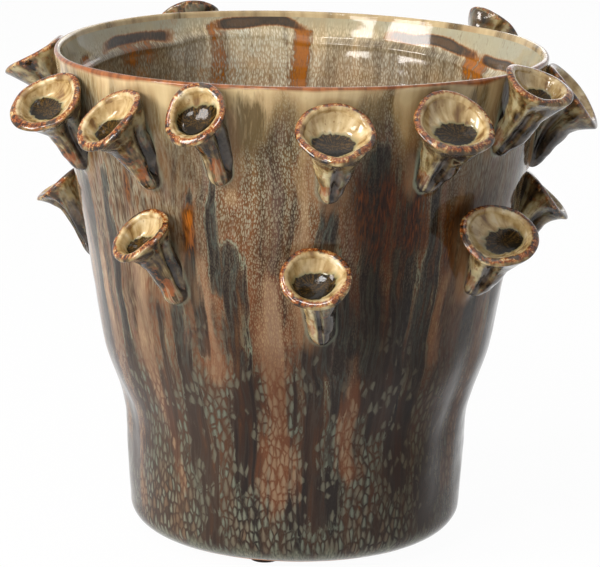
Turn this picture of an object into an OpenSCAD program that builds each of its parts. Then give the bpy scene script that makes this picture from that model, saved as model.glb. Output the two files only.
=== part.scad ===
// Round stoneware cover pot with two rows of hollow trumpet horns luted to its upper wall.
// Z is up, the pot's axis is the Z axis, and the felt pads stand on Z = 0.
// The front is at -Y. Azimuths turn from the front towards +X.

/* [Pot wall] */
// Height of the clay body, from its foot to the top of the rim
body_height = 249; // [200:1:300]
// Outer diameter at the rim
rim_d = 250; // [225:1:280]
// Outer diameter at the shoulder, where the straight flare starts
shoulder_d = 199; // [190:1:210]
// Height of the shoulder above the foot
shoulder_height = 104; // [95:1:115]
// Outer diameter at the top of the near-straight lower part
barrel_d = 174; // [164:1:184]
// Height of the top of the lower part above the foot
barrel_height = 58; // [50:1:75]
// Outer diameter just above the rounded bottom edge
heel_d = 169; // [160:1:176]
// Height of the rounded bottom edge
heel_round = 15; // [10:1:20]
// Diameter of the flat foot
foot_d = 128; // [120:1:140]

/* [Hollow] */
// Thickness of the wall, measured level
wall = 7; // [5:0.5:10]
// Thickness of the floor
floor_t = 8; // [6:0.5:12]
// Radius of the curve from floor to inner wall
floor_curve = 18; // [12:1:26]
// Thickness of the rolled rim
rim_t = 5; // [4:0.5:6]
// Depth of the glaze ledge below the rim
ledge_drop = 16; // [10:1:24]
// Height over which the ledge steps in
ledge_step = 3; // [2:0.5:6]

/* [Horns] */
// Thickness of the clay at a horn's lip
lip_t = 3.2; // [2.5:0.1:4.5]
// Depth of a horn's bowl
bowl_depth = 11; // [8:0.5:14]
// Length of a horn's flare, from its lip to its neck, as a share of the lip's radius
flare_share = 0.9; // [0.8:0.05:1.1]
// Radius of a horn's neck, as a share of the lip's radius
neck_share = 0.54; // [0.45:0.01:0.6]
// Height from the middle of a horn's lip down to the tip of its tail
tail_drop = 37; // [33:1:42]
// Radius of the pressed tail
tail_r = 6.5; // [5:0.5:8]
// How far the middle of the tail stands off the wall
tail_stand = 2; // [1:0.5:4]
// How fast a horn opens towards its lip: 1 is a plain cone
flare_power = 1.25; // [1.1:0.05:1.5]

/* [Felt pads] */
// Diameter of a pad
pad_d = 14; // [10:1:16]
// Thickness of a pad
pad_t = 3; // [1.5:0.5:4]
// Number of pads
pad_count = 3;
// Azimuth of the first pad
pad_turn = -15; // [-60:5:60]
// Width of bare foot left outside a pad
pad_margin = 0.5; // [0:0.5:4]

/* [Hidden] */
$fn = 96;

// One row for each horn of the upper ring:
// azimuth, drop from the rim to the middle of its lip, lip diameter, upward tilt,
// sideways lean, and space between its upper lip and the wall
UPPER_HORNS = [
    [7, 20, 40, 50, 0, 0.5],
    [31, 17, 42, 52, 0, 0.5],
    [53, 4, 37, 62, 3, 0.5],
    [84, 21, 42, 38, 0, 0.5],
    [133, 4, 32, 45, -6, 0.5],
    [158, 14, 38, 50, 8, 0.5],
    [182, 17, 38, 48, -4, 0.5],
    [206, 7, 36, 50, 5, 0.5],
    [256, 13, 37, 56, 0, 0.5],
    [298, 19, 39, 50, -10, 0.5],
    [319, 20, 38, 46, 14, 0.5],
    [339, 13, 33, 30, 11, 4]
];
// The same for the lower ring
LOWER_HORNS = [
    [4, 92, 35, 40, 8, 0.5],
    [48, 77, 40, 56, 17, 0.5],
    [93, 76, 34, 42, 0, 0.5],
    [138, 84, 37, 48, -8, 0.5],
    [181, 78, 36, 46, 10, 0.5],
    [222, 86, 35, 50, -6, 0.5],
    [257, 78, 31, 52, 0, 0.5],
    [323, 77, 33, 47, 14, 0.5]
];

// Heights above the ground
foot_z = pad_t;
heel_z = foot_z + heel_round;
barrel_z = foot_z + barrel_height;
shoulder_z = foot_z + shoulder_height;
rim_z = foot_z + body_height;
floor_z = foot_z + floor_t;
ledge_z = rim_z - ledge_drop;

// Steps along the curves of the wall
heel_steps = 6;
swell_steps = 8;
rim_steps = 8;
flare_steps = 6;
quarter_steps = 4;

// Radius of a horn's stem where it leaves the neck, as a share of the neck's radius
stem_share = 0.93;
// How far in the bowl's edge lies on the rolled lip, as a share of the lip's thickness
bowl_edge_share = 0.8;

// Spare height of the cutting forms, so that no two faces of a cut coincide
spare = 20;

pad_ring_r = foot_d / 2 - pad_margin - pad_d / 2;

function ramp(low, high, share) = low + (high - low) * share;

// Outer radius of the straight flare, which may be followed past the rim
function flare_r(z) = ramp(shoulder_d, rim_d, (z - shoulder_z) / (rim_z - shoulder_z)) / 2;

// Outer radius of the near-straight lower part
function barrel_r(z) = ramp(heel_d, barrel_d, (z - heel_z) / (barrel_z - heel_z)) / 2;

// Outer radius of the swell, a cubic that leaves the lower part and meets the flare at their own slopes
swell_h = shoulder_z - barrel_z;
barrel_rise = (barrel_r(barrel_z) - barrel_r(heel_z)) / (barrel_z - heel_z) * swell_h;
flare_rise = flare_r(shoulder_z + swell_h) - flare_r(shoulder_z);
function swell_r(share) =
    ramp(barrel_d, shoulder_d, share * share * (3 - 2 * share)) / 2
    + barrel_rise * share * pow(1 - share, 2)
    - flare_rise * pow(share, 2) * (1 - share);

// Outer radius of the wall at any height above its rounded bottom edge
function wall_r(z) =
    z >= shoulder_z ? flare_r(z) :
    z >= barrel_z ? swell_r((z - barrel_z) / swell_h) :
    barrel_r(z);

// Rounded bottom edge, from the foot up to the heel
heel_curve = [
    for (i = [0 : heel_steps])
    let (a = 90 * i / heel_steps)
    [ramp(foot_d, heel_d, sin(a)) / 2, heel_z - heel_round * cos(a)]
];

// Swell from the lower part out to the shoulder
function swell(inset) = [
    for (i = [0 : swell_steps])
    let (z = ramp(barrel_z, shoulder_z, i / swell_steps))
    [wall_r(z) - inset, z]
];

// Half-round top of the rim, from its outer to its inner side
rim_round = rim_t / 2;
rim_curve = [
    for (i = [0 : rim_steps])
    let (a = 180 * i / rim_steps)
    [wall_r(rim_z - rim_round) - rim_round + rim_round * cos(a), rim_z - rim_round + rim_round * sin(a)]
];

// Curve from the inner wall down to the floor
inner_turn_z = floor_z + floor_curve;
inner_turn_r = wall_r(inner_turn_z) - wall;
floor_turn = [
    for (i = [0 : heel_steps])
    let (a = 90 * i / heel_steps)
    [inner_turn_r - floor_curve + floor_curve * cos(a), inner_turn_z - floor_curve * sin(a)]
];

function reversed(points) = [for (i = [len(points) - 1 : -1 : 0]) points[i]];

module pot_body() {
    color("#7a6450")
    rotate_extrude()
    polygon(concat(
        [[0, foot_z]],
        heel_curve,
        swell(0),
        rim_curve,
        [[wall_r(ledge_z) - rim_t, ledge_z]],
        [[wall_r(ledge_z - ledge_step) - wall, ledge_z - ledge_step]],
        reversed(swell(wall)),
        floor_turn,
        [[0, floor_z]]
    ));
}

// The solid that the outside of the wall encloses, with its flare followed past the rim
module wall_form() {
    rotate_extrude()
    polygon(concat(
        [[0, foot_z]],
        heel_curve,
        swell(0),
        [[flare_r(rim_z + spare), rim_z + spare]],
        [[0, rim_z + spare]]
    ));
}

// Quarter circle of points about a centre, from one angle on
function quarter(centre, r, from) = [
    for (i = [0 : quarter_steps])
    let (a = from + 90 * i / quarter_steps)
    centre + r * [cos(a), sin(a)]
];

// Outside of a horn's flare: rolled lip at the origin, neck below, round bottom
module flare(lip_r, neck_r, depth) {
    lip_round = lip_t / 2;
    lip_centre = [lip_r - lip_round, 0];
    rotate_extrude()
    polygon(concat(
        [[0, -depth - neck_r]],
        quarter([0, -depth], neck_r, -90),
        [for (i = [1 : flare_steps - 1])
            let (share = i / flare_steps)
            [neck_r + (lip_r - neck_r) * pow(share, flare_power), -depth * (1 - share)]],
        quarter(lip_centre, lip_round, 0),
        quarter(lip_centre, lip_round, 90),
        [[0, 0]]
    ));
}

// Tapered stem in the YZ plane from one point to another, with a round end
module stem(start, end, start_r, end_r) {
    run = end - start;
    translate([0, start[0], start[1]])
    rotate([atan2(-run[0], run[1]), 0, 0])
    rotate_extrude()
    polygon(concat(
        [[0, 0], [start_r, 0]],
        quarter([0, norm(run)], end_r, 0)
    ));
}

// A horn: flare, bowl, bent neck and tail, cut to the wall that it sits on
module horn(place) {
    azimuth = place[0];
    lip_z = rim_z - place[1];
    lip_r = place[2] / 2;
    tilt = place[3];
    lean = place[4];
    gap = place[5];

    depth = flare_share * lip_r;
    neck_r = neck_share * lip_r;
    reach = flare_r(lip_z + lip_r * cos(tilt)) + lip_r * sin(tilt) + gap;
    tail_z = lip_z - tail_drop + tail_r;
    neck_point = depth * [cos(tilt), -sin(tilt)];
    tail_point = [reach - flare_r(tail_z) - tail_stand, tail_z - lip_z];

    // The bowl is part of a sphere that meets the inner side of the lip
    bowl_r = lip_r - lip_t * bowl_edge_share;
    sphere_r = (bowl_r * bowl_r + bowl_depth * bowl_depth) / (2 * bowl_depth);

    difference() {
        rotate([0, 0, azimuth])
        translate([0, -reach, lip_z])
        rotate([0, -lean, 0])
        difference() {
            union() {
                rotate([90 - tilt, 0, 0])
                flare(lip_r, neck_r, depth);

                stem(neck_point, tail_point, neck_r * stem_share, tail_r);
            }
            rotate([90 - tilt, 0, 0])
            translate([0, 0, sphere_r - bowl_depth])
            sphere(r = sphere_r);
        }
        wall_form();
    }
}

module upper_horn(i) {
    color("#b9a06a")
    horn(UPPER_HORNS[i - 1]);
}

module lower_horn(i) {
    color("#a88a58")
    horn(LOWER_HORNS[i - 1]);
}

module felt_pad(i) {
    color("#4a3426")
    rotate([0, 0, pad_turn + 360 * (i - 1) / pad_count])
    translate([0, -pad_ring_r, 0])
    cylinder(d = pad_d, h = pad_t);
}

pot_body();
for (i = [1 : len(UPPER_HORNS)]) upper_horn(i);
for (i = [1 : len(LOWER_HORNS)]) lower_horn(i);
for (i = [1 : pad_count]) felt_pad(i);
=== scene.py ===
from math import atan2, cos, degrees, exp, hypot, pi, radians, sin
import random
import bmesh
import bpy
from mathutils import Matrix, Vector
from mathutils.noise import noise
import numpy as np


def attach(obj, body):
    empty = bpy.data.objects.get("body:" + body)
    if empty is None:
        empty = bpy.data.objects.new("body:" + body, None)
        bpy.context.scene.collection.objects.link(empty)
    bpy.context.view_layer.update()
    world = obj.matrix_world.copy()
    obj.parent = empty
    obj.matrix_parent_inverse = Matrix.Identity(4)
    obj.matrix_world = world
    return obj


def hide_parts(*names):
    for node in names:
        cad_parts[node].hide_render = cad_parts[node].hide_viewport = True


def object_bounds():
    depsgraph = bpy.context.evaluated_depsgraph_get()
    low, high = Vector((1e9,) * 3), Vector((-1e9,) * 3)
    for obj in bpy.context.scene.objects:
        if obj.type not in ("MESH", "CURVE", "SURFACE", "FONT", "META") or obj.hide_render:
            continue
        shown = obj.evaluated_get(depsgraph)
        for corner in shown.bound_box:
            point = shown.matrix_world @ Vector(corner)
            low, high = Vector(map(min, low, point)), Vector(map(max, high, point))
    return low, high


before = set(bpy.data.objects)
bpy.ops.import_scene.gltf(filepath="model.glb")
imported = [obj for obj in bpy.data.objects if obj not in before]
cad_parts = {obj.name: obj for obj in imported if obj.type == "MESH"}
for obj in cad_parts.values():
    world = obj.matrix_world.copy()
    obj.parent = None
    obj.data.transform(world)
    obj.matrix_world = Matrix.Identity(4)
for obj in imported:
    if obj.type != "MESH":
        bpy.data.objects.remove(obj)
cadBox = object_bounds()

# Glazed stoneware cover pot with two rings of hollow trumpet horns, standing on felt pads.
# Sizes in the dictionaries are millimetres, azimuths are degrees from the front towards +X.

print("camera and light")
scene = bpy.context.scene
# In metres and radians, but millimetres for the lens and its sensor
view = dict(place=(0, -1.750, 0.5327), pan=-0.0007, drop=0.2264, roll=0.0147, lens=211.57, sensor=36)
cameraData = bpy.data.cameras.new("studioCamera")
cameraData.lens = view["lens"]
cameraData.sensor_width = view["sensor"]
camera = bpy.data.objects.new("studioCamera", cameraData)
camera.matrix_world = (Matrix.Translation(view["place"]) @ Matrix.Rotation(view["pan"], 4, "Z")
                       @ Matrix.Rotation(pi / 2 - view["drop"], 4, "X") @ Matrix.Rotation(view["roll"], 4, "Z"))
scene.camera = camera
scene.view_settings.view_transform = "Standard"
linkToScene = scene.collection.objects.link
linkToScene(camera)


def linearColour(hexText):  # sRGB hex to the linear colour that nodes and lamps take
    channels = [int(hexText[i:i + 2], 16) / 255 for i in (1, 3, 5)]
    return [c / 12.92 if c <= 0.04045 else ((c + 0.055) / 1.055) ** 2.4 for c in channels] + [1.0]


def onCircle(azimuth, radius, z):  # a place round the pot's axis
    turn = radians(azimuth)
    return radius * sin(turn), -radius * cos(turn), z


# In metres; ambient is the level of light that the white room gives the clay
studio = dict(aimHeight=0.15, ambient=0.15, paperSize=30, paperGlow=0.97)
# Softboxes: azimuth, height and distance from the pot's middle, size, watts, tint
softboxes = dict(
    keyBox=dict(azimuth=-32, height=0.84, distance=1.6, size=(0.44, 0.28), watts=8.2, tint="#fffaf2"),
    highBox=dict(azimuth=-20, height=1.34, distance=1.1, size=(0.32, 0.22), watts=7, tint="#ffffff"),
    leftBox=dict(azimuth=-62, height=0.75, distance=1.5, size=(0.5, 0.6), watts=21, tint="#fff9f4"),
    rightBox=dict(azimuth=98, height=0.35, distance=1.5, size=(0.9, 1.1), watts=0.4, tint="#f6f2ff"),
    backBox=dict(azimuth=168, height=0.9, distance=1.6, size=(1.0, 0.8), watts=5, tint="#ffffff"),
    topBox=dict(azimuth=-10, height=1.7, distance=0.35, size=(1.3, 1.3), watts=6.5, tint="#ffffff"),
)
for name, box in softboxes.items():
    lampData = bpy.data.lights.new(name, "AREA")
    lampData.shape = "RECTANGLE"
    lampData.size, lampData.size_y = box["size"]
    lampData.energy = box["watts"]
    lampData.color = linearColour(box["tint"])[:3]
    lamp = bpy.data.objects.new(name, lampData)
    lamp.location = onCircle(box["azimuth"], box["distance"], box["height"])
    aim = Vector((0, 0, studio["aimHeight"])) - lamp.location
    lamp.rotation_euler = aim.to_track_quat("-Z", "Y").to_euler()
    linkToScene(lamp)


# One node of the current tree with its settings and links. Inputs are named or numbered, or stand in a list
# in their order, which for a Map Range is the value, its low and high, and what these give
def node(kind, inputs=(), out=0, ramp={}, **settings):
    made = tree.nodes.new("ShaderNode" + kind)
    for name, value in settings.items():
        setattr(made, name, value)
    for name, value in inputs.items() if isinstance(inputs, dict) else enumerate(inputs):
        if isinstance(value, bpy.types.NodeSocket):
            tree.links.new(value, made.inputs[name])
        else:
            made.inputs[name].default_value = linearColour(value) if isinstance(value, str) else value
    for i, (position, colour) in enumerate(ramp.items()):
        stops = made.color_ramp.elements
        stop = stops[i] if i < 2 else stops.new(1.0)  # a new ramp has two stops
        stop.position = position
        stop.color = linearColour(colour) if isinstance(colour, str) else (colour, colour, colour, 1)
    return made.outputs[out]


asColour = dict(out=2, data_type="RGBA")  # makes a Mix node mix colours: 0 is the share, 6 and 7 are the colours
times, timesPlus, plus, minus, dividedBy, greater = [
    dict(operation=name) for name in ("MULTIPLY", "MULTIPLY_ADD", "ADD", "SUBTRACT", "DIVIDE", "MAXIMUM")]
softly = dict(interpolation_type="SMOOTHSTEP")


def layered(colour, *layers):  # tones laid one over another, each with its share and sometimes a weight for it
    for share, over, *weight in layers:
        if weight:
            share = node("Math", [share, *weight], **times)
        colour = node("Mix", {0: share, 6: colour, 7: over}, **asColour)
    return colour


def summed(value, *grains):  # a value with noises added, each by its weight
    for grain, weight in grains:
        value = node("Math", [grain, weight, value], **timesPlus)
    return value


# A painted share whose edge noise draws out and breaks, and its mask, which a Map Range takes from the limits
def edgeOf(value, limits, *grains, less=0, **settings):
    value = summed(value, *grains)
    if less:
        value = node("Math", [value, less], **minus)
    return value, node("MapRange", [value, *limits], **settings)


def plainRays():  # 1 where the camera, the gloss or something clear looks, 0 where the clay takes its light
    seen = 0.0
    for ray in ("Is Camera Ray", "Is Glossy Ray", "Is Transmission Ray"):
        seen = node("Math", [seen, node("LightPath", out=ray)], **greater)
    return seen


# White studio all round: the camera and the gloss see plain white, the clay gets a softer level
world = bpy.data.worlds.new("whiteStudio")
scene.world = world
world.use_nodes = True
tree = world.node_tree
tree.nodes.clear()
level = node("MapRange", [plainRays(), 0.0, 1.0, studio["ambient"], 1.0])
glow = node("Background", {"Color": (1, 1, 1, 1), "Strength": level})
tree.links.new(glow, tree.nodes.new("ShaderNodeOutputWorld").inputs["Surface"])


def newMaterial(name):
    material = bpy.data.materials.new(name)
    material.use_nodes = True
    material.node_tree.nodes.clear()
    return material, material.node_tree


def finishMaterial(shader):
    tree.links.new(shader, tree.nodes.new("ShaderNodeOutputMaterial").inputs["Surface"])


# Pale floor: matt white paper, which the camera sees near white with the pot's soft shadow on it
paper, tree = newMaterial("mattWhitePaper")
matt = node("BsdfDiffuse", {"Color": "#f4f4f4"})
lit = node("Emission", {"Color": (1, 1, 1, 1), "Strength": 1.0})
share = node("Math", [plainRays(), studio["paperGlow"]], **times)
finishMaterial(node("MixShader", [share, matt, lit]))
bm = bmesh.new()
bmesh.ops.create_grid(bm, x_segments=1, y_segments=1, size=studio["paperSize"])
floorMesh = bpy.data.meshes.new("paperFloor")
bm.to_mesh(floorMesh)
bm.free()
floor = bpy.data.objects.new("paperFloor", floorMesh)
floorMesh.materials.append(paper)
linkToScene(floor)

print("glazes")


def inMillimetres():  # the place on the pot
    return node("VectorMath", [node("TexCoord", out="Object"), (1000, 1000, 1000)], **times)


def glazeBase(warpSize, warpReach, evenRadius=0, leastRadius=63):  # the place, and the same with a lazy flow in it
    place = even = inMillimetres()
    if evenRadius:  # the wall's flare is taken out, so that a streak runs true down it
        level = node("VectorMath", [place, (1, 1, 0)], **times)
        radius = node("VectorMath", [level], out="Value", operation="LENGTH")
        radius = node("Math", [radius, leastRadius], **greater)
        scale = node("Math", [evenRadius, radius], **dividedBy)
        level = node("VectorMath", {0: level, "Scale": scale}, operation="SCALE")
        upright = node("VectorMath", [place, (0, 0, 1)], **times)
        even = node("VectorMath", [level, upright], **plus)
    swirl = node("TexNoise", {"Vector": even, "Scale": 1 / warpSize, "Detail": 2}, out="Color")
    flowing = node("VectorMath", [swirl, (warpReach, warpReach, warpReach * 1.5), even], **timesPlus)
    return place, flowing


def noiseOf(place, width, stretch=1, detail=2):  # noise; a small stretch draws it out down the wall
    drawn = node("VectorMath", [place, (1, 1, stretch)], **times)
    return node("TexNoise", {"Vector": drawn, "Scale": 1 / width, "Detail": detail})


def glossShader(look, colour, rough, relief, ior):
    bump = node("Bump", {"Height": relief, "Strength": look["bumpStrength"], "Distance": look["bumpDepth"]})
    return node("BsdfPrincipled", {"Base Color": colour, "Roughness": rough, "IOR": ior, "Normal": bump})


# Glaze drops, pointed at the top: each is a teardrop about the middle of its own cell, cut off where the next begins.
# Gives 0 in a drop's middle and 1 at its edge, and a number of its own for each drop
def glazeDrops(place, flowing, width, stretch, taper, fill, ragged, raggedness):
    cells = node("VectorMath", [flowing, (1, 1, stretch)], **times)
    pattern = {"Vector": cells, "Scale": 1 / width, "Randomness": 0.85}
    cell = node("TexVoronoi", pattern, out="Position")
    gap = node("TexVoronoi", pattern, out="Distance", feature="DISTANCE_TO_EDGE")
    fromMiddle = node("VectorMath", [cells, cell], **minus)
    level = node("VectorMath", [place, (1, 1, 0)], **times)
    outward = node("VectorMath", [level], operation="NORMALIZE")
    sideways = node("VectorMath", [fromMiddle, outward], operation="CROSS_PRODUCT")
    sideways = node("Math", [node("SeparateXYZ", [sideways], out="Z")], operation="ABSOLUTE")
    upwards = node("Math", [node("SeparateXYZ", [fromMiddle], out="Z"), width / 2], **dividedBy)
    halfWidth = node("Math", [upwards, -taper * width, width * fill], **timesPlus)
    form = node("Math", [sideways, halfWidth], **dividedBy)
    form = node("Math", [node("Math", [upwards, upwards], **times), 0.3, form], **timesPlus)
    gap = node("MapRange", [gap, 1.07 - 1.55 * fill, 0.03, 0, 1.05])
    form = node("Math", [form, gap], **greater)
    ragged = node("Math", [ragged, 0.5], **minus)  # fine noise breaks the drops' edges
    form = node("Math", [ragged, raggedness, form], **timesPlus)
    return form, node("SeparateColor", [cell.node.outputs["Color"]], out="Red")


# Reactive stoneware glaze, dipped and fired glossy: it breaks into fine hare's-fur streaks high on the wall
# and runs into dark teardrop scales low down, with charcoal drips under the horns and tan runs between them.
# Width, stretch and detail: real fur and hair are about 0.3 mm wide, and are drawn coarser so that they show
potGlaze, tree = newMaterial("reactiveStonewareGlaze")
potLook = dict(warp=(38, 8, 95), fur=(0.78, 0.38, 1.5), hair=(0.75, 0.12, 2), streaks=(3.2, 0.05, 4),
               bands=(10, 0.06, 3), fleck=(0.86, 0.42), scale=(3, 0.52), patchWidth=32, peelWidth=5,
               bumpStrength=0.2, bumpDepth=0.0006)
place, flowing = glazeBase(*potLook["warp"])
height = node("SeparateXYZ", [place], out="Z")
fur, hair, streaks, bands = [noiseOf(flowing, *potLook[name]) for name in ("fur", "hair", "streaks", "bands")]
patches = noiseOf(place, potLook["patchWidth"])
furry = node("MapRange", [fur, 0.36, 0.64])
lucky = node("MapRange", [patches, 0.4, 0.6])
climb = summed(node("MapRange", [height, 0, 252]), (bands, 0.3))
climb = node("Math", [climb, 0.15], **minus)  # 0 at the foot and 1 at the rim, uneven from band to band
paleShare, dripShare, hairShare, amberShare, deepShare, nearHorn, rimShare = [
    node("Attribute", out="Fac", attribute_name=name)
    for name in "paleShare dripShare hairShare amberShare deepShare nearHorn rimShare".split()]

# which way the glaze ran: pale runs and dark drips are painted on the mesh, and their edges are drawn into streaks
paleEdge, paleMask = edgeOf(paleShare, (1.25, 2.15), (streaks, 2.2), **softly)
dripEdge, dripMask = edgeOf(dripShare, (1.5, 0.55), (streaks, 2.6), (fur, 0.4), less=1.5, **softly)
tone = node("Math", [summed(-1.2, (streaks, 2.4), (bands, 1.8)), 0.5], use_clamp=True, **minus)

# ground: dark and pale streaks, each with its own colours by height
darkGround = node("ValToRGB", [climb], ramp={
    0: "#26211c", 0.2: "#211a15", 0.4: "#231913", 0.55: "#2a1c13", 0.7: "#332215", 0.88: "#3b2a18",
    0.94: "#6b5637", 0.98: "#a48c66", 1: "#b39c74"})
paleGround = node("ValToRGB", [climb], ramp={
    0: "#40362c", 0.2: "#432f22", 0.4: "#4c3322", 0.55: "#5b3a20", 0.7: "#694521", 0.88: "#6e522c",
    0.94: "#917a52", 0.98: "#bca37a", 1: "#c8b38a"})
paleTone = node("ValToRGB", [climb], ramp={
    0: "#4c3626", 0.22: "#573c2b", 0.38: "#7d604a", 0.5: "#937860", 0.62: "#94785f", 0.86: "#907650", 1: "#c0ab80"})
midWall = node("ValToRGB", [climb], ramp={0.1: 0, 0.3: 0.55, 0.8: 0.5, 0.93: 0})
rustTint, roseTint = node("MapRange", [bands, 0.5, 0.64]), node("MapRange", [bands, 0.48, 0.36])
rustEdge = node("ValToRGB", [node("Math", [paleEdge, 3], **dividedBy)], ramp={0.38: 0, 0.46: 0.5, 0.54: 0.4, 0.66: 0})
colour = layered(darkGround, (tone, paleGround), (paleMask, paleTone, 0.8), (rustTint, "#6e4024", midWall),
                 (roseTint, "#7d6054", midWall), (rustEdge, "#6b3a1c", lucky))

# charcoal drips with slate-blue streaks in them, thin broken pale-green edges and a rust hem
dripTone = node("ValToRGB", [streaks], ramp={
    0.36: "#15110f", 0.45: "#201b17", 0.49: "#39423c", 0.53: "#282521", 0.59: "#281b12", 0.66: "#4d3520"})
outline = node("ValToRGB", [node("Math", [dripEdge, 2], **dividedBy)], ramp={0.49: 0, 0.53: 0.85, 0.57: 0.6, 0.61: 0})
hem = node("ValToRGB", [node("Math", [dripEdge, 3], **dividedBy)], ramp={0.39: 0, 0.45: 0.6, 0.52: 0.5, 0.64: 0})
colour = layered(colour, (dripMask, dripTone, 0.9), (outline, "#838c78", lucky), (hem, "#7c4828", midWall))

# pale drops: fine flecks high on the wall, drawn out into hair where hairShare is 1
dropForm, dropLuck = glazeDrops(place, flowing, *potLook["fleck"], 0.2, 0.47, fur, 2.2)
thick = node("MapRange", [patches, 0.36, 0.58, 0.45])
flecks = node("MapRange", [dropForm, 1.05, 0.3])
hairs = node("MapRange", [hair, 0.38, 0.64])
flecks = node("Mix", {0: hairShare, 2: flecks, 3: hairs})
fleckAmount = node("ValToRGB", [climb], ramp={0: 0.8, 0.4: 0.8, 0.6: 1, 0.86: 1, 0.95: 0.85, 1: 0.15})
fleckLuck = node("Math", [dropLuck, 0.8, 0.1], **timesPlus)
fleckLuck = node("Mix", {0: node("MapRange", [climb, 0.4, 0.6]), 2: fleckLuck, 3: 0.62})
fleckLuck = node("Math", [tone, 0.45, fleckLuck], **timesPlus)
fleckShare = flecks
for part in (fleckAmount, thick, fleckLuck, node("Math", [dripMask, -0.75, 1], **timesPlus)):
    fleckShare = node("Math", [fleckShare, part], **times)
fleckTone = node("ValToRGB", [climb], ramp={
    0: "#62644f", 0.25: "#6b6450", 0.45: "#76674f", 0.6: "#877a62", 0.78: "#918c77", 0.9: "#9c9982",
    0.96: "#aea282", 1: "#c3b28a"})
fleckTone = layered(fleckTone, (paleMask, "#b09672", 0.7))

# and closely packed scales low down
scaleForm, scaleLuck = glazeDrops(place, flowing, *potLook["scale"], 0.26, 0.56, fur, 0.75)
lowZone = edgeOf(height, (188, 146), (patches, 110))[1]
sparse = node("Math", [dripMask, 0.75, 0.03], **timesPlus)
present = node("Math", [scaleLuck, sparse], operation="GREATER_THAN")
scaleMask = node("Math", [node("MapRange", [scaleForm, 1.12, 0.3]), node("Math", [lowZone, present], **times)],
                 **times)
scaleTone = node("ValToRGB", [scaleForm], ramp={0: "#757463", 0.35: "#636254", 0.7: "#49453a", 1: "#2f2821"})
scaleTone = layered(scaleTone, (node("MapRange", [scaleLuck, 0.3, 0.8, 0, 0.8]), "#634b37"),
                    (node("MapRange", [dripEdge, 3.1, 1.2, 0, 0.55]), "#535d52"), (paleMask, "#86694f", 0.75))
gapTone = layered("#1f1713", (tone, "#402616"), (paleMask, "#60361d"), (hairShare, "#4a3a30", 0.6))
colour = layered(colour, (fleckShare, fleckTone), (lowZone, gapTone, 0.75), (scaleMask, scaleTone))

# amber runs beside the horns, with painted reflection and painted shadow of the horns, olive-brown high on the wall;
# and thick dark brown glaze with painted shade on the front's right side, which deepens what lies under it
amberShadowReflectEdge, amberShadowReflectMask = edgeOf(amberShare, (1.15, 1.75, 0, 0.88), (streaks, 1.6), (hair, 1.2), less=0.6)
amberShadowReflectTone = layered("#241105", (hairs, "#6a3c0c"), (node("MapRange", [amberShadowReflectEdge, 1.95, 2.5]), "#a05811"),
                    (node("MapRange", [height, 208, 224]), "#5f4d2c"))
deepAndShadeMask = edgeOf(deepShare, (0.75, 1.6), (streaks, 1.2))[1]
colour = layered(colour, (amberShadowReflectMask, amberShadowReflectTone))
colour = node("Mix", {0: deepAndShadeMask, 6: colour, 7: "#c0a78b"}, blend_type="MULTIPLY", **asColour)

# round the horns' roots: a smooth tan halo, a broken pale-green line, a dark line
nearEdge, rootLine = edgeOf(nearHorn, (0.18, 0.14, 0, 0.9), (bands, 0.3))
halo = node("ValToRGB", [nearEdge], ramp={0.14: 0, 0.22: 0.6, 0.36: 0.45, 0.56: 0})
greenLine = node("ValToRGB", [nearEdge], ramp={0.15: 0, 0.18: 0.7, 0.2: 0.6, 0.25: 0})
colour = layered(colour, (halo, "#8f6c4b", node("MapRange", [bands, 0.42, 0.58])),
                 (greenLine, "#86907c", node("MapRange", [lucky, 0, 1, 0.4])), (rootLine, "#241d1b"))

# the rim's rust line, the thick grey-green roll at the base, and the bare clay of the foot
rimMask = edgeOf(rimShare, (1, 1.4, 0, 0.92), (patches, 1.4))[1]
rollMask = edgeOf(height, (24, 19, 0, 0.85), (bands, 22))[1]
bareClay = edgeOf(height, (7, 6.2), (patches, 2.5))[1]
colour = layered(colour, (rimMask, layered("#6e3716", (node("MapRange", [streaks, 0.4, 0.6]), "#965326"))),
                 (rollMask, layered("#4b4d41", (furry, "#7c7e69"))), (bareClay, layered("#b9805c", (fur, "#d09a76"))))

peel = noiseOf(place, potLook["peelWidth"])
relief = node("Math", [scaleMask, 0.1, peel], **timesPlus)
rough = node("MapRange", [fleckShare, 0, 1, 0.045, 0.1])
rough = node("Math", [bareClay, 0.65, rough], **timesPlus)
sheen = node("MapRange", [deepShare, 0, 1, 1.31, 1.24])  # the IOR, which sets how pale a veil lies on the wall
finishMaterial(glossShader(potLook, colour, rough, relief, sheen))

# The same glaze, thinner and paler inside the pot: a cream ground with fine brown and grey-green fur,
# and amber where it pools dark on the ledge and runs down
insideGlaze, tree = newMaterial("creamStonewareGlaze")
insideLook = dict(warp=(30, 6, 95), fur=(0.8, 0.3, 1.5), streaks=(4, 0.06, 4), fleck=(1, 0.34), patchWidth=26,
                  peelWidth=6, bumpStrength=0.12, bumpDepth=0.0005, ior=1.42)
place, flowing = glazeBase(*insideLook["warp"])
fur, streaks = [noiseOf(flowing, *insideLook[name]) for name in ("fur", "streaks")]
patches = noiseOf(place, insideLook["patchWidth"])
cloudy = node("MapRange", [patches, 0.38, 0.62])
ledgeAbove, brownShare, pooled, runShare, rimShare = [  # ledgeAbove is in centimetres above the ledge
    node("Attribute", out="Fac", attribute_name=name)
    for name in "ledgeAbove brownShare pooled runShare rimShare".split()]
ground = node("ValToRGB", [edgeOf(ledgeAbove, (-5, 2.6), (streaks, 2.6))[1]], ramp={
    0: "#5d4836", 0.35: "#8f6f4c", 0.6: "#b8966c", 0.76: "#b49b72", 0.9: "#a99c7c", 1: "#aba385"})
dropForm, dropLuck = glazeDrops(place, flowing, *insideLook["fleck"], 0.15, 0.47, fur, 2)
flecks = node("MapRange", [dropForm, 1.1, 0.1])
fleckShare = node("MapRange", [ledgeAbove, 0.9, 0, 0.06, 0.9])
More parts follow.
